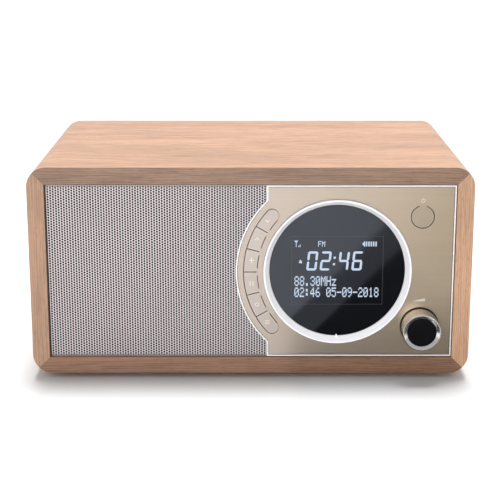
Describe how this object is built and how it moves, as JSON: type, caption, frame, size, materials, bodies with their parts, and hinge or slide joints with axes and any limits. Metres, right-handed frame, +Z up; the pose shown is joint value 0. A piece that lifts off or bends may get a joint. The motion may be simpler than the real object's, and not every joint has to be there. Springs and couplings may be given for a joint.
{
  "type": "tabletop radio",
  "caption": "Wooden tabletop radio with a perforated speaker grille, a round display inside a rotating dial, an arc of keys, a volume knob and a folding telescopic aerial.",
  "frame": {"origin": "centre of the object's bounding box in plan, on the surface that the rubber feet stand on", "axes": "+Z up, the controls and grille face -Y, +X to the viewer's right from the front"},
  "size_m": [0.27, 0.2017, 0.133],
  "materials": {
    "oak": "satin lacquer",
    "block_wood": "raw",
    "foot_rubber": "matt",
    "zinc_screw": "zinc plated",
    "baffle_plastic": "moulded",
    "grille_metal": "perforated, satin",
    "cloth": "open weave",
    "champagne_metal": "horizontally brushed, anodised",
    "trim_metal": "polished edge",
    "key_metal": "brushed, anodised",
    "gasket_foam": "foam",
    "basket_steel": "stamped",
    "roll_rubber": "matt",
    "cone_paper": "pressed",
    "coil_copper": "wound",
    "spider_cloth": "impregnated",
    "plated_iron": "zinc plated",
    "ferrite": "sintered",
    "ring_silver": "satin, turned",
    "gear_plastic": "moulded",
    "switch_plastic": "moulded",
    "smoked_window": "smoked, gloss",
    "frame_plastic": "moulded",
    "lcd_glass": "gloss",
    "light_box": "diffusing",
    "board_green": "solder mask",
    "knob_champagne": "brushed, anodised",
    "bezel_silver": "polished, turned",
    "inlay_black": "gloss",
    "shaft_metal": "turned",
    "nut_metal": "nickel plated",
    "panel_black": "moulded",
    "jack_plastic": "moulded",
    "cable": "insulated",
    "aerial_socket": "moulded",
    "aerial_chrome": "plated"
  },
  "bodies": {
    "radio": {"cabinet_top": "oak", "cabinet_bottom": "oak", "cabinet_left": "oak", "cabinet_right": "oak", "corner_blocks": "block_wood", "rubber_feet": "foot_rubber", "wood_screws": "zinc_screw", "front_baffle": "baffle_plastic", "speaker_grille": "grille_metal", "grille_cloth": "cloth", "fascia_plate": "champagne_metal", "fascia_trim": "trim_metal", "driver_gasket": "gasket_foam", "driver_frame": "basket_steel", "driver_front_plate": "plated_iron", "driver_magnet": "ferrite", "driver_yoke": "plated_iron", "driver_surround": "roll_rubber", "driver_spider": "spider_cloth", "dial_encoder": "switch_plastic", "display_window": "smoked_window", "display_frame": "frame_plastic", "lcd_panel": "lcd_glass", "lcd_backlight": "light_box", "key_switches": "switch_plastic", "control_board": "board_green", "panel_screws": "zinc_screw", "encoder_body": "shaft_metal", "encoder_nut": "nut_metal", "rear_panel": "panel_black", "main_board": "board_green", "board_standoffs": "nut_metal", "audio_jacks": "jack_plastic", "dc_jack": "jack_plastic", "wiring_loom": "cable", "aerial_base": "aerial_socket"},
    "key_1": {"arc_key_1": "key_metal"},
    "key_2": {"arc_key_2": "key_metal"},
    "key_3": {"arc_key_3": "key_metal"},
    "key_4": {"arc_key_4": "key_metal"},
    "key_5": {"arc_key_5": "key_metal"},
    "key_6": {"arc_key_6": "key_metal"},
    "power": {"power_key": "key_metal"},
    "dial": {"dial_ring": "ring_silver", "dial_gear": "gear_plastic"},
    "pinion": {"dial_pinion": "gear_plastic"},
    "plunger": {"encoder_plunger": "switch_plastic"},
    "knob": {"encoder_shaft": "shaft_metal", "knob_sleeve": "knob_champagne", "knob_bezel": "bezel_silver", "knob_inlay": "inlay_black"},
    "cone": {"driver_cone": "cone_paper", "driver_dust_cap": "cone_paper", "driver_voice_coil": "coil_copper"},
    "swivel": {"aerial_swivel": "aerial_chrome"},
    "whip_1": {"aerial_section_1": "aerial_chrome"},
    "whip_2": {"aerial_section_2": "aerial_chrome"},
    "whip_3": {"aerial_section_3": "aerial_chrome"},
    "whip_4": {"aerial_section_4": "aerial_chrome"}
  },
  "joints": [
    {"name": "key_1_press", "type": "hinge", "parent": "radio", "child": "key_1", "pos_m": [0.01303, -0.08585, 0.03923], "axis": [0.5842, 0, -0.8116], "range_deg": [0, 2.5], "stiffness_Nm_per_rad": 0.2},
    {"name": "key_2_press", "type": "hinge", "parent": "radio", "child": "key_2", "pos_m": [0.0075, -0.08585, 0.04915], "axis": [0.3827, 0, -0.9239], "range_deg": [0, 2.5], "stiffness_Nm_per_rad": 0.2},
    {"name": "key_3_press", "type": "hinge", "parent": "radio", "child": "key_3", "pos_m": [0.00417, -0.08585, 0.06157], "axis": [0.1305, 0, -0.9914], "range_deg": [0, 2.5], "stiffness_Nm_per_rad": 0.2},
    {"name": "key_4_press", "type": "hinge", "parent": "radio", "child": "key_4", "pos_m": [0.00417, -0.08585, 0.07443], "axis": [-0.1305, 0, -0.9914], "range_deg": [0, 2.5], "stiffness_Nm_per_rad": 0.2},
    {"name": "key_5_press", "type": "hinge", "parent": "radio", "child": "key_5", "pos_m": [0.0075, -0.08585, 0.08685], "axis": [-0.3827, 0, -0.9239], "range_deg": [0, 2.5], "stiffness_Nm_per_rad": 0.2},
    {"name": "key_6_press", "type": "hinge", "parent": "radio", "child": "key_6", "pos_m": [0.01303, -0.08585, 0.09677], "axis": [-0.5842, 0, -0.8116], "range_deg": [0, 2.5], "stiffness_Nm_per_rad": 0.2},
    {"name": "power_press", "type": "hinge", "parent": "radio", "child": "power", "pos_m": [0.1041, -0.08585, 0.10906], "axis": [1, 0, 0], "range_deg": [0, 2.5], "stiffness_Nm_per_rad": 0.3},
    {"name": "dial_turn", "type": "hinge", "parent": "radio", "child": "dial", "pos_m": [0.053, -0.08585, 0.068], "axis": [0, 1, 0], "continuous": true},
    {"name": "pinion_turn", "type": "hinge", "parent": "radio", "child": "pinion", "pos_m": [0.107, -0.08085, 0.068], "axis": [0, 1, 0], "continuous": true},
    {"name": "knob_push", "type": "slide", "parent": "radio", "child": "plunger", "axis": [0, 1, 0], "range_m": [0, 0.0005], "stiffness_N_per_m": 6000},
    {"name": "knob_turn", "type": "hinge", "parent": "plunger", "child": "knob", "pos_m": [0.1041, -0.10085, 0.0335], "axis": [0, 1, 0], "continuous": true},
    {"name": "cone_travel", "type": "slide", "parent": "radio", "child": "cone", "axis": [0, 1, 0], "range_m": [-0.002, 0.002], "stiffness_N_per_m": 1700, "deforming": ["driver_surround", "driver_spider"]},
    {"name": "aerial_swivel_turn", "type": "hinge", "parent": "radio", "child": "swivel", "pos_m": [0.0996, 0.08915, 0.1096], "axis": [0, 1, 0], "range_deg": [0, 180]},
    {"name": "aerial_tilt", "type": "hinge", "parent": "swivel", "child": "whip_1", "pos_m": [0.0996, 0.09745, 0.1096], "axis": [0, 0, -1], "range_deg": [0, 90]},
    {"name": "whip_2_slide", "type": "slide", "parent": "whip_1", "child": "whip_2", "axis": [-1, 0, 0], "range_m": [0, 0.1571]},
    {"name": "whip_3_slide", "type": "slide", "parent": "whip_2", "child": "whip_3", "axis": [-1, 0, 0], "range_m": [0, 0.1607]},
    {"name": "whip_4_slide", "type": "slide", "parent": "whip_3", "child": "whip_4", "axis": [-1, 0, 0], "range_m": [0, 0.1643]}
  ],
  "couplings": [
    {"joint": "pinion_turn", "follows": "dial_turn", "ratio": -8}
  ]
}
